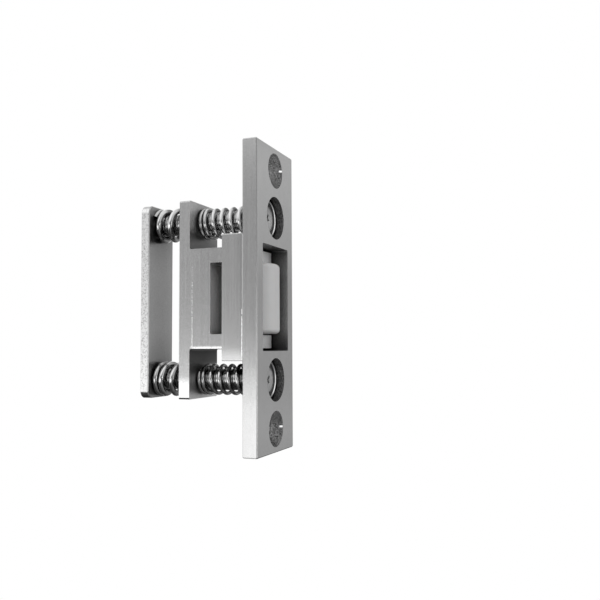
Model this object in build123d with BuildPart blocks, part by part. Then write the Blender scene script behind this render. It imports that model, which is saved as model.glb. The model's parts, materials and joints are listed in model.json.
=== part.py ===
"""Mortise roller latch with adjustable projection.

Frame: the origin is the centre of the faceplate's back face, which seats in the door's edge.
The front face looks along -Y, the works lie along +Y, and +Z runs up the length of the plate.
Sizes are in mm.
"""

from build123d import *
import os
from math import cos, radians, sin

# Faceplate
plate_width = 25.4
plate_length = 85.7
plate_thickness = 4.4
plate_edge_break = 0.3

# Countersunk mounting holes, inset from the ends of the plate
mounting_hole_inset = 6.55
mounting_hole_radius = 2.6
countersink_radius = 5.0
countersink_angle = 82

# Adjusting screws and their counterbores, a land away from the countersinks
countersink_land = 2.5
shank_radius = 3.1
shank_clearance = 0.25
shank_end_chamfer = 0.5
shank_tail = 1.6
head_rim_radius = 5.7
head_rim_thickness = 0.8
head_crown_radius = 2.9
head_crown_height = 0.15
head_groove_outer_radius = 4.3
head_groove_slope = 0.35
head_groove_depth = 0.3
head_clearance = 0.35
head_seat_gap = 0.02
counterbore_depth = 3.0
recess_length = 4.4
recess_width = 1.1
recess_depth = 1.5
lower_recess_turn = 40

# Springs, at the lengths they have at rest
front_spring_length = 18.45
front_wire = 1.1
front_end_turns = 1.25
front_active_turns = 5.15
rear_spring_length = 11.2
rear_wire = 1.7
rear_end_turns = 0.5
rear_active_turns = 1.9
spring_bore_clearance = 0.3
spring_seat_gap = 0.03
closed_coil_gap = 0.15
upper_front_spring_start = 285
lower_front_spring_start = 15
upper_rear_spring_start = 11
lower_rear_spring_start = 234

# Collar round the window, which guides the carriage
collar_side_margin = 1.1
collar_side_wall = 2.7
collar_end_wall = 2.65
collar_depth = 6.6
collar_corner_radius = 0.4
collar_root_fillet = 0.5
collar_spring_clearance = 0.9
window_corner_radius = 0.4

# Carriage: ears, block and roller fork
guide_side_clearance = 0.55
guide_end_clearance = 0.55
ear_overhang = 5.4
ear_thickness = 3.3
ear_corner_radius = 0.5
ear_root_fillet = 0.5
ear_hole_clearance = 0.35
fork_arm_thickness = 4.15
fork_nose = 2.6
fork_nose_chamfer = 0.2
fork_floor_clearance = 0.8
fork_floor_fillet = 0.4

# Roller and its axle
roller_side_clearance = 0.9
roller_end_clearance = 0.15
roller_edge_fillet = 1.2
roller_projection = 0.5
axle_radius = 1.6
axle_running_fit = 0.05
axle_end_chamfer = 0.3
axle_end_setback = 0.2

# Back plate
back_plate_width = 13.3
back_plate_overhang = 5.45
back_plate_thickness = 2.8
back_plate_corner_radius = 2.2
back_plate_edge_break = 0.25
thread_clearance = 0.05

# Radii and widths that follow from a mating part and its clearance
counterbore_radius = head_rim_radius + head_clearance
front_spring_radius = shank_radius + spring_bore_clearance + front_wire
window_width = plate_width - 2 * (collar_side_margin + collar_side_wall)
carriage_width = window_width - 2 * guide_side_clearance
roller_radius = window_width / 2 - roller_side_clearance

# Lengths along Z, from the ends of the plate inwards
mounting_spacing = plate_length - 2 * mounting_hole_inset
screw_spacing = mounting_spacing - 2 * (countersink_radius + countersink_land + counterbore_radius)
window_length = screw_spacing - 2 * (front_spring_radius + collar_spring_clearance + collar_end_wall)
block_length = window_length - 2 * guide_end_clearance
fork_gap = block_length - 2 * fork_arm_thickness
roller_length = fork_gap - 2 * roller_end_clearance
axle_length = block_length - 2 * axle_end_setback
carriage_length = screw_spacing + 2 * ear_overhang
back_plate_length = screw_spacing + 2 * back_plate_overhang

# Places along Y, from the seat of the faceplate at y = 0
face_y = -plate_thickness
axle_y = face_y - roller_projection + roller_radius
fork_front_y = axle_y - fork_nose
fork_floor_y = axle_y + roller_radius + fork_floor_clearance
head_seat_y = face_y + counterbore_depth - head_seat_gap
ear_front_y = front_spring_length
ear_back_y = ear_front_y + ear_thickness
back_plate_front_y = ear_back_y + rear_spring_length
back_plate_back_y = back_plate_front_y + back_plate_thickness
screw_end_y = back_plate_back_y + shank_tail

SCREW_Z = {"upper": screw_spacing / 2, "lower": -screw_spacing / 2}


def facing_forward(y):
    """The plane across Y at y, with its normal along -Y, as the face has."""
    return Plane.XZ.offset(-y)


def save(node, label):
    """Names a finished piece and writes its STEP file."""
    node.part.label = label
    export_step(node.part, f"parts/{label}.step")


def adjusting_screw(label, screw_z, recess_turn):
    """A long screw with a cross recess, turned by recess_turn degrees, in a crown ringed by a groove."""
    rim_front_y = head_seat_y - head_rim_thickness
    crown_top_y = rim_front_y - head_crown_height
    groove_floor_y = rim_front_y + head_groove_depth
    profile_plane = Plane.XY.offset(screw_z).rotated((0, -recess_turn, 0))
    recess_plane = Plane((0, crown_top_y, screw_z), x_dir=profile_plane.x_dir, z_dir=(0, -1, 0))
    with BuildPart() as screw:
        with BuildSketch(profile_plane):
            with BuildLine():
                Polyline(
                    (0, crown_top_y),
                    (0, screw_end_y),
                    (shank_radius - shank_end_chamfer, screw_end_y),
                    (shank_radius, screw_end_y - shank_end_chamfer),
                    (shank_radius, head_seat_y),
                    (head_rim_radius, head_seat_y),
                    (head_rim_radius, rim_front_y),
                    (head_groove_outer_radius, rim_front_y),
                    (head_groove_outer_radius - head_groove_slope, groove_floor_y),
                    (head_crown_radius + head_groove_slope, groove_floor_y),
                    (head_crown_radius, rim_front_y),
                )
                crown_chord = Vector(head_crown_radius, head_crown_height)
                crown_arc_radius = crown_chord.length**2 / (2 * head_crown_height)
                RadiusArc((head_crown_radius, rim_front_y), (0, crown_top_y), crown_arc_radius)
            make_face()
        revolve(axis=Axis((0, 0, screw_z), (0, 1, 0)))
        with BuildSketch(recess_plane):
            Rectangle(recess_length, recess_width)
            Rectangle(recess_width, recess_length)
        extrude(amount=-recess_depth, mode=Mode.SUBTRACT)
    save(screw, label)


def spring(label, spring_z, seat_y, length, wire, end_turns, active_turns, start_angle, left_hand):
    """A compression spring along +Y with closed coils at both ends.

    start_angle is the place of the first wire end, in degrees from +X towards +Z.
    """
    wire_radius = wire / 2
    coil_radius = shank_radius + spring_bore_clearance + wire_radius
    end_pitch = wire + closed_coil_gap
    end_height = end_turns * end_pitch
    active_height = length - wire - 2 * spring_seat_gap - 2 * end_height
    stretches = (
        (end_pitch, end_height),
        (active_height / active_turns, active_height),
        (end_pitch, end_height),
    )
    turn_sign = 1 if left_hand else -1
    with BuildPart() as coil:
        with BuildLine() as centre_line:
            y = seat_y + spring_seat_gap + wire_radius
            angle = start_angle
            for pitch, height in stretches:
                start_direction = (cos(radians(angle)), 0, sin(radians(angle)))
                start_plane = Plane((0, y, spring_z), x_dir=start_direction, z_dir=(0, 1, 0))
                helix = Edge.make_helix(pitch, height, coil_radius, lefthand=left_hand)
                add(start_plane.location * helix)
                y += height
                angle += turn_sign * 360 * height / pitch
        with BuildSketch(Plane(centre_line.line @ 0, z_dir=centre_line.line % 0)):
            Circle(wire_radius)
        sweep(path=centre_line.line, is_frenet=True)
    save(coil, label)


os.makedirs("parts", exist_ok=True)

# Faceplate with its collar, one casting
with BuildPart(facing_forward(face_y)) as faceplate:
    with BuildSketch(facing_forward(0)):
        Rectangle(plate_width, plate_length)
    extrude(amount=plate_thickness)
    chamfer(faceplate.edges(), plate_edge_break)
    with BuildSketch(facing_forward(collar_depth)):
        RectangleRounded(
            window_width + 2 * collar_side_wall,
            window_length + 2 * collar_end_wall,
            collar_corner_radius,
        )
    extrude(amount=collar_depth)
    collar_edges = faceplate.edges(Select.LAST)
    fillet(collar_edges.filter_by_position(Axis.Y, 0, 0), collar_root_fillet)
    with BuildSketch(facing_forward(collar_depth)):
        RectangleRounded(window_width, window_length, window_corner_radius)
    extrude(amount=collar_depth + plate_thickness, mode=Mode.SUBTRACT)
    with GridLocations(0, mounting_spacing, 1, 2):
        CounterSinkHole(mounting_hole_radius, countersink_radius, counter_sink_angle=countersink_angle)
    with GridLocations(0, screw_spacing, 1, 2):
        CounterBoreHole(shank_radius + shank_clearance, counterbore_radius, counterbore_depth)
save(faceplate, "faceplate")

# Carriage: ears and block, with the fork cut into the front of the block
with BuildPart(Plane.XZ) as carriage:
    with BuildSketch(facing_forward(ear_back_y)):
        RectangleRounded(carriage_width, carriage_length, ear_corner_radius)
    extrude(amount=ear_thickness)
    with BuildSketch(facing_forward(ear_front_y)):
        Rectangle(carriage_width, block_length)
    extrude(amount=ear_front_y - fork_front_y)
    block_edges = carriage.edges(Select.LAST).filter_by(Axis.X)
    fillet(block_edges.filter_by_position(Axis.Y, ear_front_y, ear_front_y), ear_root_fillet)
    with BuildSketch(facing_forward(fork_floor_y)):
        Rectangle(carriage_width, fork_gap)
    extrude(amount=fork_floor_y - fork_front_y, mode=Mode.SUBTRACT)
    edges_across = carriage.edges().filter_by(Axis.X)
    fillet(edges_across.filter_by_position(Axis.Y, fork_floor_y, fork_floor_y), fork_floor_fillet)
    chamfer(carriage.faces().filter_by(Plane.XZ).sort_by(Axis.Y)[:2].edges(), fork_nose_chamfer)
    with BuildSketch(facing_forward(ear_back_y)):
        with GridLocations(0, screw_spacing, 1, 2):
            Circle(shank_radius + ear_hole_clearance)
    extrude(amount=ear_thickness, mode=Mode.SUBTRACT)
    with BuildSketch(Plane.XY.offset(-block_length / 2)):
        with Locations((0, axle_y)):
            Circle(axle_radius)
    extrude(amount=block_length, mode=Mode.SUBTRACT)
save(carriage, "carriage")

# Roller and the axle it turns on
with BuildPart() as roller:
    with BuildSketch(Plane.XY.offset(-roller_length / 2)):
        with Locations((0, axle_y)):
            Circle(roller_radius)
    extrude(amount=roller_length)
    fillet(roller.edges().filter_by(GeomType.CIRCLE), roller_edge_fillet)
    with Locations((0, axle_y)):
        Hole(axle_radius + axle_running_fit)
save(roller, "roller")

with BuildPart() as roller_axle:
    with BuildSketch(Plane.XY.offset(-axle_length / 2)):
        with Locations((0, axle_y)):
            Circle(axle_radius)
    extrude(amount=axle_length)
    chamfer(roller_axle.edges().filter_by(GeomType.CIRCLE), axle_end_chamfer)
save(roller_axle, "roller_axle")

# Tapped back plate on the ends of the screws
with BuildPart(Plane.XZ) as back_plate:
    with BuildSketch(facing_forward(back_plate_back_y)):
        RectangleRounded(back_plate_width, back_plate_length, back_plate_corner_radius)
    extrude(amount=back_plate_thickness)
    chamfer(back_plate.edges().group_by(Axis.Y)[0], back_plate_edge_break)
    chamfer(back_plate.edges().group_by(Axis.Y)[-1], back_plate_edge_break)
    with GridLocations(0, screw_spacing, 1, 2):
        Hole(shank_radius + thread_clearance)
save(back_plate, "back_plate")

# Adjusting screws, and the springs round them
adjusting_screw("upper_adjusting_screw", SCREW_Z["upper"], 0)
adjusting_screw("lower_adjusting_screw", SCREW_Z["lower"], lower_recess_turn)
spring_starts = {
    "upper": (upper_front_spring_start, upper_rear_spring_start),
    "lower": (lower_front_spring_start, lower_rear_spring_start),
}
for place, screw_z in SCREW_Z.items():
    front_start, rear_start = spring_starts[place]
    spring(f"{place}_front_spring", screw_z, 0, front_spring_length, front_wire,
           front_end_turns, front_active_turns, front_start, left_hand=False)
    spring(f"{place}_rear_spring", screw_z, ear_back_y, rear_spring_length, rear_wire,
           rear_end_turns, rear_active_turns, rear_start, left_hand=True)
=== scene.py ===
"""The looks of the roller latch: camera, light and finishes, with its springs and screws in full detail.

Sizes are in mm, in the part's own frame, and become metres where Blender's objects are made.
"""

import json
from math import cos, hypot, pi, radians, sin, tau

import bmesh
import bpy
import numpy as np
from mathutils import Matrix, Vector


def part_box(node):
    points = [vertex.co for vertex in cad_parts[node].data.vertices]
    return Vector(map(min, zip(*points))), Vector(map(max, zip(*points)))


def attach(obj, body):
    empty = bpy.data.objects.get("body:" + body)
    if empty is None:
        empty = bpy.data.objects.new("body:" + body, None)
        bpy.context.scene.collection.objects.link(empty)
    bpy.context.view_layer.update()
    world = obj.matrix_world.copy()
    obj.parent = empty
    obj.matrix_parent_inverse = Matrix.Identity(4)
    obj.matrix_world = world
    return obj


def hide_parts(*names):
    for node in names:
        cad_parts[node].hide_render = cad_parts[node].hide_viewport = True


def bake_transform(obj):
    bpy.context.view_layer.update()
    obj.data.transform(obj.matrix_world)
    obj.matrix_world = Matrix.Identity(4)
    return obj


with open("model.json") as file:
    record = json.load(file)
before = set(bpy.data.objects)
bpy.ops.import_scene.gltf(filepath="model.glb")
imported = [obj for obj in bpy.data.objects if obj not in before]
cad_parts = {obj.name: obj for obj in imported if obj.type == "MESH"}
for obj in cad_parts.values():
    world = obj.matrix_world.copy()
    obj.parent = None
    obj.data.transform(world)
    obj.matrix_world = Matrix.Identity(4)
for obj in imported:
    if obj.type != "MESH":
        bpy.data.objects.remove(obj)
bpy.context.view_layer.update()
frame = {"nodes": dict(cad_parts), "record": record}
nodes = frame["nodes"]

MM = 0.001
X, Y, Z = range(3)
PLACES = ("upper", "lower")


def span_mm(node, axis):
    """Where a CAD node begins and ends along an axis, in mm."""
    return [corner[axis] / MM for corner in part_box(node)]


# The faceplate: its face, sides and ends, its mounting holes, and the window and collar round the carriage
FACE_Y = span_mm("faceplate", Y)[0]
PLATE_SIDE_X = span_mm("faceplate", X)[1]
PLATE_END_Z = span_mm("faceplate", Z)[1]
HOLE_Z = frame["record"]["mounts"][0]["dims"]["spacing_y_mm"] / 2
COUNTERSINK_RADIUS = 5.0
COUNTERBORE_RADIUS = 6.05
WINDOW_SIDE_X = 8.9
WINDOW_END_Z = 14.7
EDGE_BREAK = 0.3
COLLAR_END_Z = 17.35
COLLAR_EDGE_Z = COLLAR_END_Z - EDGE_BREAK

# The carriage: the ends of its block and the fronts of its ears
BLOCK_END_Z = 14.15
EAR_FRONT_Y = 18.45

# The adjusting screws. A drop is how far a surface of the head lies behind the front of the CAD one.
joints = {joint["name"]: joint for joint in frame["record"]["behaviour"]["joints"]}
SCREW_Z = {place: joints[f"{place}_screw_turn"]["pos_m"][Z] / MM for place in PLACES}
RIM_DROP = 0.15
CROWN_DROP = 0.25
SEAT_DROP = 0.95
RIM_RADIUS = 5.7
CROWN_RADIUS = 3.6
GROOVE_RADIUS = 4.86
RECESS_LENGTH, RECESS_WIDTH, RECESS_DEPTH = 3.2, 0.85, 1.1
RECESS_TURNS = {"upper": -24, "lower": 40}
SHANK_RADIUS = 3.1
THREAD_LEAD = 0.907
THREAD_DEPTH = 0.34

# The springs. A sag is how far one hangs down onto its screw, and ground is what its flat end has lost.
FRONT_WIRE = 1.1
FRONT_RADII = {"upper": 4.05, "lower": 3.95}
FRONT_PITCHES = ((1.25, 1.25), (5.15, 0.0), (1.25, 1.25))
FRONT_ENDS = {"upper": 58, "lower": 148}
FRONT_SAG = {"upper": 0.38, "lower": 0.0}
FRONT_CUT_Y = 10.0
REAR_WIRE = 1.7
REAR_RADIUS = 4.25
REAR_PITCHES = {
    "upper": ((0.5, 1.85), (1.9, 0.0), (0.92, 1.75)),
    "lower": ((0.5, 1.85), (1.9, 0.0), (1.25, 1.8)),
}
REAR_ENDS = {"upper": 150, "lower": 306}
REAR_GROUND = {"upper": 0.75, "lower": 0.55}
RIGHT_HAND, LEFT_HAND = 1, -1

# The camera that fits the photo's perspective
SENSOR_WIDTH = 36.0
LENS = 43.323
CAMERA_AZIMUTH = -68.864
CAMERA_ELEVATION = -3.714
CAMERA_ROLL = -0.319
CAMERA_PLACE = (-186.42, -83.767, -13.611)

# Grey levels of the studio's sides against the height looked at, from -1 straight down to 1 straight up
BEHIND = (
    (-1, 0.03), (-0.30, 0.04), (-0.22, 1.0), (-0.05, 1.3), (0.05, 1.0), (0.5, 1.0), (1, 0.8),
)
LEFT = (
    (-1, 0.05), (-0.45, 0.06), (-0.34, 1.2), (-0.10, 1.48), (-0.062, 1.55), (-0.048, 0.95), (-0.035, 0.50),
    (-0.02, 0.38), (0.05, 0.31), (0.12, 0.28), (0.23, 0.29), (0.25, 0.31), (0.278, 0.62), (0.5, 0.95),
    (1, 1.0),
)
CAMERA_SIDE = (
    (-1, 0.08), (-0.5, 0.2), (-0.25, 0.2), (-0.12, 0.05), (-0.04, 0.05), (0.10, 0.10), (0.35, 0.35),
    (0.6, 0.5), (1, 0.8),
)
LIGHT_STRIP = (
    (-1, 0.08), (-0.5, 0.2), (-0.25, 0.2), (-0.13, 0.08), (-0.09, 1.7), (0.06, 1.7), (0.12, 0.5), (1, 0.8),
)
FRONT_LEFT = (
    (-1, 0.08), (-0.5, 0.2), (-0.3, 0.3), (-0.2, 1.3), (-0.08, 1.3), (-0.02, 0.55), (0.02, 0.42),
    (0.12, 0.42), (0.22, 0.55), (1, 0.8),
)
FRONT = ((-1, 0.08), (-0.5, 0.3), (-0.2, 0.9), (0.3, 1.2), (0.7, 0.9), (1, 0.8))
RIGHT = (
    (-1, 0.05), (-0.4, 0.2), (-0.15, 0.42), (-0.11, 0.49), (-0.04, 0.40), (0.023, 0.42), (0.08, 0.385),
    (0.15, 0.50), (0.26, 0.59), (0.38, 0.2), (0.7, 0.3), (1, 0.8),
)
# The degrees from +X towards +Y between which each side fades in over the one before it, BEHIND being first
SIDES = (
    (LEFT, 138, 154), (CAMERA_SIDE, 178, 194), (LIGHT_STRIP, 222, 228), (FRONT_LEFT, 240, 247),
    (FRONT, 258, 272),
)
FLOOR_Z = -170
FLOOR_RADIUS = 2000

# The grey level of metal that is rubbed bright, and of the painted glints
RUBBED_AND_GLINT = 0.95


class Tree:
    """A shader tree that is written as sums, products and ramps of its sockets."""

    def __init__(self, tree):
        self.tree = tree
        tree.nodes.clear()

    def put(self, socket, value):
        if isinstance(value, bpy.types.NodeSocket):
            self.tree.links.new(value, socket)
        elif value is not None:
            socket.default_value = value

    def add(self, kind, inputs=None, **settings):
        node = self.tree.nodes.new(kind)
        for name, value in settings.items():
            setattr(node, name, value)
        for name, value in (inputs or {}).items():
            self.put(node.inputs[name], value)
        return node

    def math(self, operation, a, b=None, clamp=False):
        node = self.add("ShaderNodeMath", {0: a, 1: b}, operation=operation, use_clamp=clamp)
        return node.outputs[0]

    def plus(self, total, *terms):
        for term in terms:
            total = self.math("ADD", total, term)
        return total

    def times(self, product, *factors):
        for factor in factors:
            product = self.math("MULTIPLY", product, factor)
        return product

    def vary(self, level, noise, amount, clamp=False):
        """The level, moved up and down by the noise within a range of amount."""
        return self.math("ADD", level, self.times(self.math("SUBTRACT", noise, 0.5), amount), clamp)

    def vector(self, operation, a, b=None):
        node = self.add("ShaderNodeVectorMath", {0: a, 1: b}, operation=operation)
        return node.outputs["Value" if operation == "DOT_PRODUCT" else "Vector"]

    def tilted(self, normal, tilt):
        return self.vector("NORMALIZE", self.vector("ADD", normal, tilt))

    def parts(self, vector):
        node = self.add("ShaderNodeSeparateXYZ", {0: vector})
        return node.outputs[0], node.outputs[1], node.outputs[2]

    def join(self, x, y, z):
        return self.add("ShaderNodeCombineXYZ", {0: x, 1: y, 2: z}).outputs[0]

    def step(self, value, start, end, low=0.0, high=1.0):
        """Goes smoothly from low to high as value goes from start to end."""
        if start > end:
            start, end, low, high = end, start, high, low
        inputs = {0: value, 1: start, 2: end, 3: low, 4: high}
        return self.add("ShaderNodeMapRange", inputs, interpolation_type="SMOOTHSTEP").outputs[0]

    def curve(self, value, stops):
        """A grey level that runs smoothly through the (value, level) stops."""
        first, last = stops[0][0], stops[-1][0]
        place = self.add("ShaderNodeMapRange", {0: value, 1: first, 2: last, 3: 0.0, 4: 1.0}).outputs[0]
        node = self.add("ShaderNodeValToRGB", {0: place})
        ramp = node.color_ramp
        ramp.interpolation = "EASE"
        while len(ramp.elements) < len(stops):
            ramp.elements.new(0.5)
        top = max(level for _, level in stops)
        for element, (at, level) in zip(ramp.elements, stops):
            element.position = (at - first) / (last - first)
            element.color = (level / top, level / top, level / top, 1)
        return self.times(node.outputs[0], top)

    def mix(self, factor, a, b):
        node = self.add("ShaderNodeMix", {0: factor, 2: a, 3: b}, data_type="FLOAT")
        return node.outputs[0]

    def noise(self, place, scale, detail, roughness):
        inputs = {"Vector": place, "Scale": scale, "Detail": detail, "Roughness": roughness}
        return self.add("ShaderNodeTexNoise", inputs).outputs["Fac"]

    def grey(self, value):
        return self.add("ShaderNodeCombineColor", {0: value, 1: value, 2: value}).outputs[0]

    def true_normal(self):
        return self.add("ShaderNodeNewGeometry").outputs["Normal"]

    def bevel(self, radius, samples):
        """The normal, rounded over at the edges."""
        return self.add("ShaderNodeBevel", {"Radius": radius * MM}, samples=samples).outputs[0]

    def bump(self, height, strength, distance, normal=None):
        inputs = {"Strength": strength, "Distance": distance * MM, "Height": height}
        if normal is not None:
            inputs["Normal"] = normal
        return self.add("ShaderNodeBump", inputs).outputs[0]


def new_material(name):
    material = bpy.data.materials.new(name)
    material.use_nodes = True
    return material, Tree(material.node_tree)


def place_mm(t):
    """The point in its object's own frame, in mm."""
    return t.vector("MULTIPLY", t.add("ShaderNodeTexCoord").outputs["Object"], (1 / MM, 1 / MM, 1 / MM))


def painted_corner_shade(t, reach, strength):
    """Painted shade: 1 in the open, less in corners and holes, where less light gets to."""
    shade = t.add("ShaderNodeAmbientOcclusion", {"Distance": reach * MM}, samples=12)
    return t.math("POWER", shade.outputs["AO"], strength)


def finish_surface(t, level, roughness, normal, tangent=None, metallic=1.0, anisotropy=0.0, **more):
    """Ends a material's tree with its shader, in the grey of level."""
    inputs = {
        "Base Color": t.grey(level), "Roughness": roughness, "Normal": normal, "Metallic": metallic,
        "Anisotropic": anisotropy, **more,
    }
    if tangent is not None:
        inputs["Tangent"] = tangent
    shader = t.add("ShaderNodeBsdfPrincipled", inputs)
    t.add("ShaderNodeOutputMaterial", {"Surface": shader.outputs[0]})


def brushed_place(t, place, normal, stretch=0.018):
    """A place in which noise becomes brush lines: they run along Z, and along X on the two ends."""
    x, y, z = t.parts(place)
    on_end = t.step(t.math("ABSOLUTE", t.parts(normal)[Z]), 0.6, 0.8)
    along_z = t.join(x, y, t.times(z, stretch))
    along_x = t.join(t.times(x, stretch), y, z)
    return t.add("ShaderNodeMix", {0: on_end, 4: along_z, 5: along_x}, data_type="VECTOR").outputs[1]


def worn_edges(t, place, normal):
    """1 in speckles along the edges, where handling has polished them."""
    bent = t.math("SUBTRACT", 1.0, t.vector("DOT_PRODUCT", t.bevel(0.22, samples=8), normal))
    speckle = t.step(t.noise(place, scale=2.3, detail=4.0, roughness=0.75), 0.47, 0.62)
    return t.times(t.step(bent, 0.004, 0.06), speckle)


def satin_metal(name, base, roughness, streaks=0.05, sand=0.2, sides=None, lean=None, glint_line=None, painted_light=None,
                shade=(1.5, 0.7)):
    """Cast metal, brushed along Z, with speckled bright edges and painted shade in its corners.

    sides is the level and the speckle of the side faces, whose lighter level is painted light. lean gives
    how far the surface leans down at a point, in radians, as a mould's draft and the polishing make it,
    glint_line is 1 along a broken line of painted glints on the flash, and painted_light is above 1 where
    more light is painted onto the metal. shade is the reach and the strength of the corners' painted shade.
    """
    material, t = new_material(name)
    place = place_mm(t)
    normal = t.true_normal()
    brushed = brushed_place(t, place, normal)
    coarse = t.noise(brushed, scale=1.4, detail=3.0, roughness=0.6)
    fine = t.noise(brushed, scale=7.0, detail=2.0, roughness=0.6)
    mottle = t.noise(place, scale=0.35, detail=3.0, roughness=0.55)
    grain = t.noise(place, scale=3.2, detail=2.0, roughness=0.7)

    level = base
    for noise, amount in ((coarse, streaks), (fine, streaks), (mottle, 0.06), (grain, sand)):
        level = t.vary(level, noise, amount)
    # Painted light: the side faces get their own, lighter level
    if sides is not None:
        on_side = t.step(t.math("ABSOLUTE", t.parts(normal)[X]), 0.7, 0.9)
        speckle = t.noise(place, scale=1.9, detail=3.0, roughness=0.7)
        level = t.mix(on_side, level, t.vary(sides[0], speckle, sides[1], clamp=True))
    # Painted shade in the corners and holes
    level = t.times(level, painted_corner_shade(t, *shade))
    # Painted light: the level is raised where more light is painted in
    if painted_light is not None:
        level = t.math("MINIMUM", t.times(level, painted_light(t, *t.parts(place))), 0.96)
    level = t.mix(t.times(worn_edges(t, place, normal), 0.8), level, RUBBED_AND_GLINT)
    rough = t.vary(t.vary(roughness, coarse, 0.10), grain, 0.06)

    surface = normal
    if lean is not None:
        down = t.times(lean(t, *t.parts(place)), -1.0)
        surface = t.tilted(surface, t.join(0.0, 0.0, down))
    # Painted glints: bright dots along the line, their normals tilted towards +Y to catch the light
    if glint_line is not None:
        line = t.times(glint_line(t, *t.parts(place)), t.noise(place, scale=2.5, detail=4.0, roughness=0.8))
        dots = t.step(line, 0.50, 0.56)
        level = t.mix(dots, level, RUBBED_AND_GLINT)
        surface = t.tilted(surface, t.join(0.0, t.times(dots, 0.3), 0.0))
    height = t.plus(t.times(fine, 0.5), t.times(grain, 0.5))
    bump = t.bump(height, strength=0.18, distance=0.05, normal=surface)
    # The brushing is turned a little off Z, which gives the two ends a tangent too
    brushing = (0.002, 0.0, 1.0)
    tangent = t.vector("NORMALIZE", t.vector("CROSS_PRODUCT", normal, brushing))
    finish_surface(t, level, rough, bump, tangent, anisotropy=0.6)
    return material


def collar_lean(t, x, y, z):
    """The collar's sides lean out downwards. Its edges and the plate's lower one are polished flat."""
    draft = t.step(z, 4.85 - COLLAR_END_Z, 0.35 - COLLAR_END_Z, 0.0, 0.03)
    lower_edge = t.step(z, 0.02 - COLLAR_EDGE_Z, -COLLAR_EDGE_Z, 0.0, -1.1)
    upper_edge = t.step(z, COLLAR_EDGE_Z - 0.09, COLLAR_EDGE_Z + 0.01, 0.0, 0.66)
    collar = t.times(t.plus(draft, lower_edge, upper_edge), t.step(y, 0.05, 0.3))
    plate = t.step(z, 0.31 - PLATE_END_Z, 0.25 - PLATE_END_Z, 0.0, -1.1)
    plate = t.times(plate, t.step(t.math("ABSOLUTE", x), PLATE_SIDE_X - 0.35, PLATE_SIDE_X - 0.28))
    return t.plus(collar, plate)


def collar_painted_light(t, x, y, z):
    """Painted light: the collar's lower edge is brighter."""
    extra = t.step(z, 0.15 - COLLAR_EDGE_Z, -COLLAR_EDGE_Z, 0.0, 0.8)
    return t.plus(1.0, t.times(extra, t.step(y, 0.05, 0.3)))


def collar_glint_line(t, x, y, z):
    """Painted glints on the flash at the collar's root, thicker towards its lower end."""
    root = t.times(t.step(y, 0.4, 0.5), t.step(y, 0.85, 0.75))
    return t.times(root, t.step(z, -1.0, -7.0, 0.84, 1.12))


def carriage_lean(t, x, y, z):
    """The carriage's sides lean out at the lower ear, and round over at the block's lower edge."""
    ear = t.step(z, -21.0, -26.5, 0.0, 0.09)
    draft = t.step(z, 1.15 - BLOCK_END_Z, 0.55 - BLOCK_END_Z, 0.0, 0.05)
    edge = t.step(z, 0.18 - BLOCK_END_Z, 0.12 - BLOCK_END_Z, 0.0, 1.0)
    above_end = t.step(z, -0.05 - BLOCK_END_Z, -0.01 - BLOCK_END_Z)
    before_ear = t.step(y, EAR_FRONT_Y - 0.05, EAR_FRONT_Y - 0.35)
    return t.plus(ear, t.times(t.plus(draft, edge), t.times(above_end, before_ear)))


def carriage_painted_light(t, x, y, z):
    """Painted light: the lower ear is brighter."""
    return t.step(z, -21.5, -25.0, 1.0, 1.5)


def carriage_glint_lines(t, x, y, z):
    """Painted glints on flash down the block, a little in front of the ears, and a painted highlight
    along the block's lower edge.
    """
    line = t.times(t.step(y, 17.4, 17.48), t.step(y, 17.82, 17.74))
    line = t.times(line, t.step(z, 9.5, -14.0, 0.93, 1.05), t.step(z, 10.0, 9.0))
    edge = t.step(z, 1.0 - BLOCK_END_Z, 0.55 - BLOCK_END_Z, 0.0, 1.25)
    edge = t.times(edge, t.step(z, 0.15 - BLOCK_END_Z, 0.2 - BLOCK_END_Z))
    edge = t.times(edge, t.curve(y, ((15.5, 1.0), (17.9, 0.76), (18.1, 0.0))))
    return t.math("MAXIMUM", line, edge)


def ear_painted_shade(t, x, y, z):
    """Painted shade: the ears get darker towards the block."""
    return t.curve(z, (
        (-30, 0.85), (-22.5, 0.9), (-20.2, 0.4), (-17.3, 0.13), (-14.5, 0.10), (14.5, 0.27), (18.5, 0.33),
        (20.5, 0.95), (25, 0.8), (27, 0.75),
    ))


def countersink_painted_shade(t, x, y, z):
    """Painted shade and light: countersinks darker on their right side, brighter above their middle."""
    up = t.math("SUBTRACT", z, t.times(t.math("SIGN", z), HOLE_Z))
    share = t.times(t.step(x, 1.0, 4.8, 1.0, 0.55), t.step(up, 0.5, 3.5, 1.0, 1.3))
    in_countersink = t.step(t.math("ABSOLUTE", z), 30.0, 30.5)
    return t.mix(in_countersink, 1.0, share)


def countersink_glint(t, x, y, z):
    """A painted glint in the lip of each countersink."""
    beside = t.math("ABSOLUTE", t.math("SUBTRACT", x, COUNTERSINK_RADIUS - 0.4))
    middle_z = t.plus(t.times(t.math("SIGN", z), HOLE_Z + 0.37), 0.58)
    above = t.math("ABSOLUTE", t.math("SUBTRACT", z, middle_z))
    return t.times(t.step(beside, 0.42, 0.22), t.step(above, 0.38, 0.15))


def window_painted_shade(t, x, y, z):
    """Painted light and shade: the window's walls are brighter beside the roller's middle, dark below it."""
    return t.times(t.step(z, 8.0, 3.0, 1.0, 1.35), t.step(z, -4.0, -14.0, 1.0, 0.40))


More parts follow.
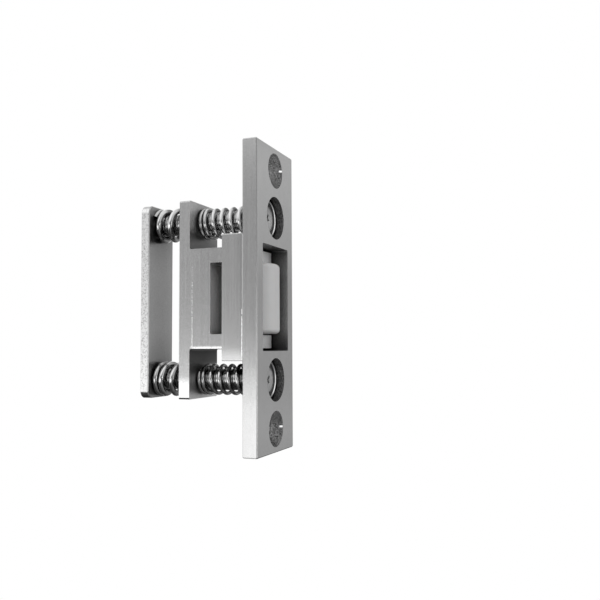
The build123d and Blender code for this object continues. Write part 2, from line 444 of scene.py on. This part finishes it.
def blasted_metal(name, base, roughness, shade, speckles, upward_painted_shade=1.0, painted_shade=None, painted_glint=None):
    """Cast metal as it is where no brush or belt gets to: rough, dark and speckled.

    upward_painted_shade is the share of its level that a face keeps where it looks up, as painted shade;
    painted_shade gives the share that is kept at a point, painting shade and light; and painted_glint is 1
    on a painted glint.
    """
    material, t = new_material(name)
    place = place_mm(t)
    surface = t.true_normal()
    grain = t.noise(place, scale=2.8, detail=3.0, roughness=0.75)
    fine = t.noise(place, scale=6.0, detail=2.0, roughness=0.7)
    mottle = t.noise(place, scale=0.5, detail=3.0, roughness=0.6)
    level = t.vary(t.vary(base, grain, speckles), mottle, 0.15)
    # Painted shade in the corners and holes
    level = t.times(t.math("MAXIMUM", level, 0.05), painted_corner_shade(t, *shade))
    # Painted shade: faces that look up keep only part of their level
    level = t.times(level, t.step(t.parts(surface)[Z], -0.3, 0.7, 1.0, upward_painted_shade))
    # Painted shade and light, given point by point
    if painted_shade is not None:
        level = t.times(level, painted_shade(t, *t.parts(place)))
    rough = t.vary(roughness, fine, 0.15)
    # A painted glint: bright, smoother and tilted to catch the light
    if painted_glint is not None:
        shine = painted_glint(t, *t.parts(place))
        level = t.mix(shine, level, RUBBED_AND_GLINT)
        rough = t.mix(shine, rough, 0.2)
        tilt = t.vector("MULTIPLY", t.join(shine, shine, shine), (0.3, -0.25, 0.1))
        surface = t.tilted(surface, tilt)
    height = t.plus(t.times(grain, 0.6), t.times(fine, 0.4))
    finish_surface(t, level, rough, t.bump(height, strength=0.25, distance=0.08, normal=surface))
    return material


def bright_metal(name, base, roughness, pit_scale, pit_strength, edge_radius, shade):
    """Smooth plated steel or drawn wire, with fine pits that break up its reflections."""
    material, t = new_material(name)
    place = place_mm(t)
    pits = t.noise(place, scale=pit_scale, detail=3.0, roughness=0.6)
    stains = t.noise(place, scale=0.6, detail=2.0, roughness=0.5)
    level = t.vary(t.vary(base, pits, 0.16), stains, 0.10)
    # Painted shade in the corners and holes
    level = t.times(level, painted_corner_shade(t, *shade))
    rough = t.vary(roughness, stains, 0.10)
    edges = t.bevel(edge_radius, samples=6)
    finish_surface(t, level, rough, t.bump(pits, strength=pit_strength, distance=0.08, normal=edges))
    return material


def smooth_nylon(name):
    """Smooth moulded nylon, slightly waxy."""
    material, t = new_material(name)
    place = place_mm(t)
    cloud = t.noise(place, scale=0.4, detail=2.0, roughness=0.5)
    grain = t.noise(place, scale=6.0, detail=2.0, roughness=0.6)
    # Painted shade in the corners and holes
    level = t.times(t.vary(0.82, cloud, 0.05), painted_corner_shade(t, reach=1.5, strength=0.5))
    wax = {"Subsurface Weight": 0.2, "Subsurface Radius": (1.0, 0.9, 0.8), "Subsurface Scale": 0.6 * MM}
    bump = t.bump(grain, strength=0.06, distance=0.04)
    finish_surface(t, level, 0.42, bump, metallic=0.0, IOR=1.52, **wax)
    return material


def link(obj):
    bpy.context.scene.collection.objects.link(obj)


def mesh_object(name, vertices, faces, material):
    """Puts a mesh into the scene, its vertices being given in mm."""
    mesh = bpy.data.meshes.new(name)
    mesh.from_pydata([tuple(float(c) * MM for c in v) for v in vertices], [], faces)
    mesh.validate()
    mesh.materials.append(material)
    obj = bpy.data.objects.new(name, mesh)
    link(obj)
    return obj


def smooth(obj, sharp_angle):
    """Smooths the faces, except where they meet at more than sharp_angle degrees."""
    obj.data.shade_smooth()
    obj.data.set_sharp_from_angle(angle=radians(sharp_angle))


def clean(obj, sharp_angle=35):
    """Merges doubled points, fills open ends, turns the faces outwards and smooths them."""
    work = bmesh.new()
    work.from_mesh(obj.data)
    bmesh.ops.remove_doubles(work, verts=work.verts, dist=1e-6)
    bmesh.ops.dissolve_degenerate(work, edges=work.edges, dist=1e-7)
    bmesh.ops.holes_fill(work, edges=[e for e in work.edges if e.is_boundary], sides=0)
    bmesh.ops.recalc_face_normals(work, faces=work.faces)
    work.to_mesh(obj.data)
    work.free()
    smooth(obj, sharp_angle)


def spring_line(low_y, high_y, pitches, end_angle, wire, coil_radius, hand, per_turn=44):
    """Rings' centres, outward and sideways directions along a compression spring between low_y and high_y.

    pitches are (turns, pitch) stretches, and one with pitch 0 takes up the length that the others leave.
    end_angle is the place of the last wire end, in degrees from +X towards +Z.
    """
    height = high_y - low_y - wire
    turns = sum(count for count, _ in pitches)
    rest = height - sum(count * pitch for count, pitch in pitches)
    u = np.linspace(0, turns, int(turns * per_turn) + 1)
    pitch, at = np.zeros(len(u)), 0.0
    half_blend = 0.18
    for count, own_pitch in pitches:
        end = at + count
        rise = 1.0 if at == 0 else np.clip((u - at + half_blend) / (2 * half_blend), 0, 1)
        fall = 1.0 if end > turns - 1e-6 else np.clip((end + half_blend - u) / (2 * half_blend), 0, 1)
        share = rise * rise * (3 - 2 * rise) * fall * fall * (3 - 2 * fall)
        pitch += (own_pitch or rest / count) * share
        at = end
    y = np.concatenate([[0], np.cumsum((pitch[1:] + pitch[:-1]) / 2 * np.diff(u))])
    y *= height / y[-1]
    angle = radians(end_angle) + hand * tau * (u - turns)
    out = np.stack([np.cos(angle), np.zeros(len(u)), np.sin(angle)], 1)
    centre = out * coil_radius
    centre[:, Y] = low_y + wire / 2 + y
    along = np.gradient(centre, axis=0)
    along /= np.linalg.norm(along, axis=1)[:, None]
    side = np.cross(along, out)
    side /= np.linalg.norm(side, axis=1)[:, None]
    return centre, out, side


def grid_faces(rings, sides):
    """The faces between closed rings of points, the points being numbered ring by ring."""
    faces = []
    for i in range(rings - 1):
        for k in range(sides):
            n = (k + 1) % sides
            faces.append((i * sides + k, i * sides + n, (i + 1) * sides + n, (i + 1) * sides + k))
    return faces


def wire_piece(name, line, span, centre_z, wire, material, ground_y=None, sides=20):
    """The stretch of wire between two rings of the line, ground flat where it would pass ground_y."""
    centre, out, side = (part[span[0]:span[1]] for part in line)
    vertices = []
    for c, o, s in zip(centre, out, side):
        for k in range(sides):
            a = tau * k / sides
            x, y, z = c + wire / 2 * (cos(a) * o + sin(a) * s)
            vertices.append((x, y if ground_y is None else min(y, ground_y), z + centre_z))
    last = len(vertices) - sides
    ends = [tuple(range(sides)), tuple(range(last, last + sides))]
    obj = mesh_object(name, vertices, grid_faces(len(centre), sides) + ends, material)
    clean(obj, sharp_angle=50)
    return obj


def front_spring(place, material):
    """The thin-wire spring, in two pieces: its plate end and its ear end."""
    node = f"{place}_front_spring"
    low, high = span_mm(node, Y)
    line = spring_line(low, high, FRONT_PITCHES, FRONT_ENDS[place],
                       FRONT_WIRE, FRONT_RADII[place], LEFT_HAND)
    cut = int(np.searchsorted(line[0][:, Y], FRONT_CUT_Y))
    centre_z = SCREW_Z[place] - FRONT_SAG[place]
    plate_end = wire_piece(f"{node}_plate_end", line, (0, cut + 1), centre_z, FRONT_WIRE, material)
    ear_end = wire_piece(f"{node}_ear_end", line, (cut, None), centre_z, FRONT_WIRE, material)
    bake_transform(plate_end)
    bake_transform(ear_end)
    for piece in (plate_end, ear_end):
        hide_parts(node)


def rear_spring(place, material):
    """The thick-wire spring, ground flat where it bears on the back plate."""
    node = f"{place}_rear_spring"
    low, high = span_mm(node, Y)
    line = spring_line(low, high + REAR_GROUND[place], REAR_PITCHES[place], REAR_ENDS[place],
                       REAR_WIRE, REAR_RADIUS, RIGHT_HAND)
    wire = wire_piece(f"{node}_wire", line, (0, None), SCREW_Z[place], REAR_WIRE, material, ground_y=high)
    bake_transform(wire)
    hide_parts(node)


def thread_shank(start_y, end_y, sides=48):
    """Points and faces of a right-handed V thread: a grid sheared along the helix, with square ends."""
    # Places in one pitch, and the share of the thread's depth that each one drops
    profile = ((-0.17, 0.0), (0.17, 0.0), (0.42, 1.0), (0.58, 1.0))
    plain_length, run_in = 1.2, 0.9
    end_radius = SHANK_RADIUS - THREAD_DEPTH - 0.05
    turns = int((end_y - start_y) / THREAD_LEAD) + 3
    rows = [(turn + phase, drop) for turn in range(-1, turns) for phase, drop in profile]
    vertices, faces = [], []
    for column in range(sides):
        a = tau * column / sides
        for phase, drop in rows:
            y = min(max(start_y + THREAD_LEAD * (phase - column / sides + 1), start_y), end_y)
            share = min(max((y - start_y - plain_length) / run_in, 0), 1)
            r = min(SHANK_RADIUS - THREAD_DEPTH * drop * share, end_radius + (end_y - y))
            vertices.append((r * cos(a), y, r * sin(a)))
    for column in range(sides):
        # The last column meets the first one, a whole pitch further on
        shift = len(profile) if column == sides - 1 else 0
        following = (column + 1) % sides
        for row in range(shift, len(rows) - 1):
            here, there = column * len(rows) + row, following * len(rows) + row - shift
            faces.append((here, here + 1, there + 1, there))
    return vertices, faces


def revolved(profile, sides=72):
    """Points and faces of a closed profile of (radius, y) points that starts and ends on the axis."""
    first, *rings, last = profile
    vertices = []
    for r, y in rings:
        vertices += [(r * cos(tau * k / sides), y, r * sin(tau * k / sides)) for k in range(sides)]
    faces = grid_faces(len(rings), sides)
    for ring, centre in ((0, len(vertices)), (len(vertices) - sides, len(vertices) + 1)):
        faces += [(centre, ring + k, ring + (k + 1) % sides) for k in range(sides)]
    vertices += [(0, first[1], 0), (0, last[1], 0)]
    return vertices, faces


def head_profile(rim_y, crown_y, seat_y):
    """Half the outline of a flat head: a dished crown, a groove round it, a narrow rim and a flat seat."""
    dish_radius, dish_depth, dish_points = 3.5, 0.26, 8
    shares = [k / dish_points for k in range(dish_points + 1)]
    crown = [(dish_radius * share, crown_y + dish_depth - dish_depth * share**2) for share in shares]
    crown_edge = [(3.58, crown_y + 0.02), (CROWN_RADIUS + 0.03, crown_y + 0.08)]
    groove = [
        (3.7, crown_y + 0.36), (3.78, crown_y + 0.42), (4.74, crown_y + 0.34), (GROOVE_RADIUS, rim_y + 0.2),
    ]
    rim = [
        (GROOVE_RADIUS + 0.02, rim_y + 0.19), (5.05, rim_y + 0.02), (5.1, rim_y), (5.42, rim_y + 0.02),
        (RIM_RADIUS - 0.1, rim_y + 0.1), (RIM_RADIUS, rim_y + 0.25),
    ]
    seat = [
        (RIM_RADIUS, seat_y - 0.2), (RIM_RADIUS - 0.06, seat_y - 0.06), (RIM_RADIUS - 0.2, seat_y),
        (SHANK_RADIUS, seat_y),
    ]
    inside_shank = [(SHANK_RADIUS - 0.2, seat_y + 0.3), (0, seat_y + 0.3)]
    return crown + crown_edge + groove + rim + seat + inside_shank


def recess_bar(top_y, turn):
    """One bar of a driver recess: longer and wider at the top than at its floor."""
    top = (RECESS_LENGTH / 2, RECESS_WIDTH / 2)
    floor = (top[0] * 0.62, top[1] * 0.72)
    vertices = []
    for y, (half_length, half_width) in ((top_y - 0.6, top), (top_y, top), (top_y + RECESS_DEPTH, floor)):
        for x_sign, z_sign in ((-1, -1), (1, -1), (1, 1), (-1, 1)):
            x, z = x_sign * half_length, z_sign * half_width
            vertices.append((x * cos(turn) - z * sin(turn), y, x * sin(turn) + z * cos(turn)))
    return vertices, [(0, 1, 2, 3), (11, 10, 9, 8)] + grid_faces(3, 4)


def screw_head(rim_y, crown_y, seat_y, recess_turn, material):
    """The mesh of a head with a cross recess cut into its crown."""
    head = mesh_object("head", *revolved(head_profile(rim_y, crown_y, seat_y)), material)
    clean(head)
    cutters = []
    for k in range(2):
        turn = radians(recess_turn) + k * pi / 2
        cutter = mesh_object(f"cutter_{k}", *recess_bar(crown_y, turn), material)
        clean(cutter)
        modifier = head.modifiers.new(f"recess_{k}", "BOOLEAN")
        modifier.operation = "DIFFERENCE"
        modifier.solver = "EXACT"
        modifier.object = cutter
        cutters.append(cutter)
    cut = bpy.data.meshes.new_from_object(head.evaluated_get(bpy.context.evaluated_depsgraph_get()))
    for obj in (head, *cutters):
        bpy.data.objects.remove(obj)
    return cut


def adjusting_screw(place, material, groove_painted_shade_material):
    """A threaded shank and a flat head, with a cross recess in its crown, a groove round that and a rim."""
    node = f"{place}_adjusting_screw"
    front_y, end_y = span_mm(node, Y)
    rim_y, crown_y, seat_y = front_y + RIM_DROP, front_y + CROWN_DROP, front_y + SEAT_DROP
    head = screw_head(rim_y, crown_y, seat_y, RECESS_TURNS[place], material)
    screw = mesh_object(f"{node}_detail", *thread_shank(seat_y, end_y), material)
    clean(screw)
    work = bmesh.new()
    work.from_mesh(screw.data)
    work.from_mesh(head)
    work.to_mesh(screw.data)
    work.free()
    smooth(screw, sharp_angle=32)
    # The groove round the crown gets a dark copy of the steel: painted shade
    screw.data.materials.append(groove_painted_shade_material)
    for face in screw.data.polygons:
        centre = face.center / MM
        if centre.y < rim_y + 0.6 and CROWN_RADIUS < hypot(centre.x, centre.z) < GROOVE_RADIUS:
            face.material_index = 1
    bottom_z, top_z = span_mm(node, Z)
    screw.location = (0, 0, (bottom_z + top_z) / 2 * MM)
    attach(screw, f"{place}_screw")
    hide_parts(node)


def make_camera():
    """The photo's camera: turned by its azimuth and elevation from looking along +Y, then rolled."""
    data = bpy.data.cameras.new("camera")
    data.sensor_width = SENSOR_WIDTH
    data.lens = LENS
    data.clip_start, data.clip_end = 0.005, 20
    camera = bpy.data.objects.new("camera", data)
    azimuth, elevation, roll = radians(CAMERA_AZIMUTH), radians(CAMERA_ELEVATION), radians(CAMERA_ROLL)
    ahead = Vector((-sin(azimuth) * cos(elevation), cos(azimuth) * cos(elevation), -sin(elevation)))
    right = Vector((cos(azimuth), sin(azimuth), 0))
    up = right.cross(ahead)
    rolled_right = right * cos(roll) + up * sin(roll)
    rolled_up = up * cos(roll) - right * sin(roll)
    turn = Matrix((rolled_right, rolled_up, -ahead)).transposed().to_4x4()
    camera.matrix_world = Matrix.Translation([c * MM for c in CAMERA_PLACE]) @ turn
    link(camera)
    bpy.context.scene.camera = camera


def make_light():
    """The studio round the part: what each way of looking meets, and pure white for the camera."""
    world = bpy.data.worlds.new("studio")
    world.use_nodes = True
    bpy.context.scene.world = world
    t = Tree(world.node_tree)
    dx, dy, dz = t.parts(t.add("ShaderNodeTexCoord").outputs["Generated"])
    turn = t.times(t.math("ARCTAN2", dy, dx), 180 / pi)
    turn = t.math("MODULO", t.plus(turn, 360.0), 360.0)
    sky = t.curve(dz, BEHIND)
    for side, start, end in SIDES:
        sky = t.mix(t.step(turn, start, end), sky, t.curve(dz, side))
    # The right side is darker past 337 degrees, and reaches across +X, where BEHIND takes over
    past_right = t.math("MODULO", t.plus(turn, 180.0), 360.0)
    right = t.times(t.curve(dz, RIGHT), t.step(past_right, 155.8, 158.4, 1.0, 0.85))
    for start, end in ((296, 312), (20, 0)):
        sky = t.mix(t.step(turn, start, end), sky, right)
    seen = t.add("ShaderNodeLightPath").outputs["Is Camera Ray"]
    shown = t.mix(seen, sky, 1.0)
    background = t.add("ShaderNodeBackground", {"Color": t.grey(shown), "Strength": 1.0})
    t.add("ShaderNodeOutputWorld", {"Surface": background.outputs[0]})


def make_floor():
    """A plain pale floor, well below the part."""
    material, t = new_material("pale_floor")
    emission = t.add("ShaderNodeEmission", {"Color": (1, 1, 1, 1), "Strength": 1.0})
    t.add("ShaderNodeOutputMaterial", {"Surface": emission.outputs[0]})
    work = bmesh.new()
    bmesh.ops.create_circle(work, cap_ends=True, segments=96, radius=FLOOR_RADIUS * MM)
    mesh = bpy.data.meshes.new("floor")
    work.to_mesh(mesh)
    work.free()
    mesh.materials.append(material)
    floor = bpy.data.objects.new("floor", mesh)
    floor.location = (0, 0, FLOOR_Z * MM)
    link(floor)
    floor.visible_glossy = floor.visible_diffuse = floor.visible_shadow = False


def faceplate_finish(place, facing):
    """Which of its finishes a face of the plate gets: the holes and the window's walls are left rough."""
    brushed, in_hole, in_window, shaded_front_edge = range(4)
    if place.y < FACE_Y + 0.01 or facing.y > 0.9:
        return brushed
    holes = ((HOLE_Z, COUNTERSINK_RADIUS + 0.1), (SCREW_Z["upper"], COUNTERBORE_RADIUS + 0.25))
    if any(hypot(place.x, abs(place.z) - hole_z) < radius for hole_z, radius in holes):
        return in_hole
    if abs(place.x) < WINDOW_SIDE_X + 0.05 and abs(place.z) < WINDOW_END_Z + 0.05:
        return in_window
    # The front edges get a darker copy of the plate's finish: painted shade
    return shaded_front_edge if abs(facing.x) > 0.5 and abs(facing.y) > 0.5 and place.y < 0 else brushed


def carriage_finish(place, facing):
    """Which of its finishes a face of the carriage gets: the fronts of its ears and fork are left rough."""
    brushed, ear_front, arm_front, fork_floor = range(4)
    behind_arm_fronts, behind_fork_floor = 1, 14
    if facing.y > -0.9:
        return brushed
    if place.y > EAR_FRONT_Y - 1 and abs(place.z) > BLOCK_END_Z - 0.05:
        return ear_front
    if place.y < behind_fork_floor:
        return arm_front if place.y < behind_arm_fronts else fork_floor
    return brushed


def finish_node(node, finishes, pick=None):
    """Gives a CAD node its finishes, where pick gives the number of a face's own one."""
    mesh = nodes[node].data
    mesh.materials.clear()
    for material in finishes:
        mesh.materials.append(material)
    for face in mesh.polygons:
        face.material_index = pick(face.center / MM, face.normal) if pick else 0


view = bpy.context.scene.view_settings
view.view_transform = "Standard"
view.look = "None"
make_camera()
make_light()
make_floor()

plate_finishes = (
    satin_metal("satin_casting_plate", base=0.67, roughness=0.21, lean=collar_lean, glint_line=collar_glint_line,
                painted_light=collar_painted_light),
    blasted_metal("satin_casting_holes", base=0.46, roughness=0.5, shade=(2.5, 1.6), speckles=2.8,
                  upward_painted_shade=0.55, painted_shade=countersink_painted_shade, painted_glint=countersink_glint),
    blasted_metal("satin_casting_window", base=1.0, roughness=0.5, shade=(7.0, 2.1), speckles=2.0,
                  painted_shade=window_painted_shade),
    # A darker copy of the plate's finish for its front edges: painted shade
    satin_metal("satin_casting_edges_painted_shade", base=0.47, roughness=0.21),
)
carriage_finishes = (
    satin_metal("satin_casting_carriage", base=0.62, roughness=0.22, streaks=0.04, sand=0.3,
                lean=carriage_lean, glint_line=carriage_glint_lines, painted_light=carriage_painted_light, shade=(1.2, 0.4)),
    blasted_metal("satin_casting_ears", base=1.0, roughness=0.42, shade=(5.0, 0.6), speckles=0.4,
                  painted_shade=ear_painted_shade),
    blasted_metal("satin_casting_noses", base=0.97, roughness=0.6, shade=(0.8, 0.3), speckles=0.2),
    blasted_metal("satin_casting_floor", base=0.70, roughness=0.6, shade=(0.8, 0.3), speckles=0.3),
)
back_finish = satin_metal("satin_casting_back", base=0.60, roughness=0.3, sand=0.3, sides=(0.93, 2.2),
                          shade=(12.0, 1.1))
steel = dict(pit_scale=3.0, pit_strength=0.15, edge_radius=0.05, shade=(1.0, 0.5))
steel_finish = bright_metal("bright_steel", base=0.8, roughness=0.22, **steel)
# A dark copy of the steel for the screw heads' grooves: painted shade
groove_painted_shade_finish = bright_metal("bright_steel_groove_painted_shade", base=0.15, roughness=0.45, **steel)
wire_finish = bright_metal("spring_wire", base=0.90, roughness=0.12, pit_scale=2.4, pit_strength=0.3,
                           edge_radius=0.12, shade=(5.0, 1.4))
nylon_finish = smooth_nylon("nylon")

finish_node("faceplate", plate_finishes, faceplate_finish)
finish_node("carriage", carriage_finishes, carriage_finish)
finish_node("back_plate", (back_finish,))
finish_node("roller", (nylon_finish,))
finish_node("roller_axle", (steel_finish,))

for place in PLACES:
    adjusting_screw(place, steel_finish, groove_painted_shade_finish)
for place in PLACES:
    front_spring(place, wire_finish)
    rear_spring(place, wire_finish)
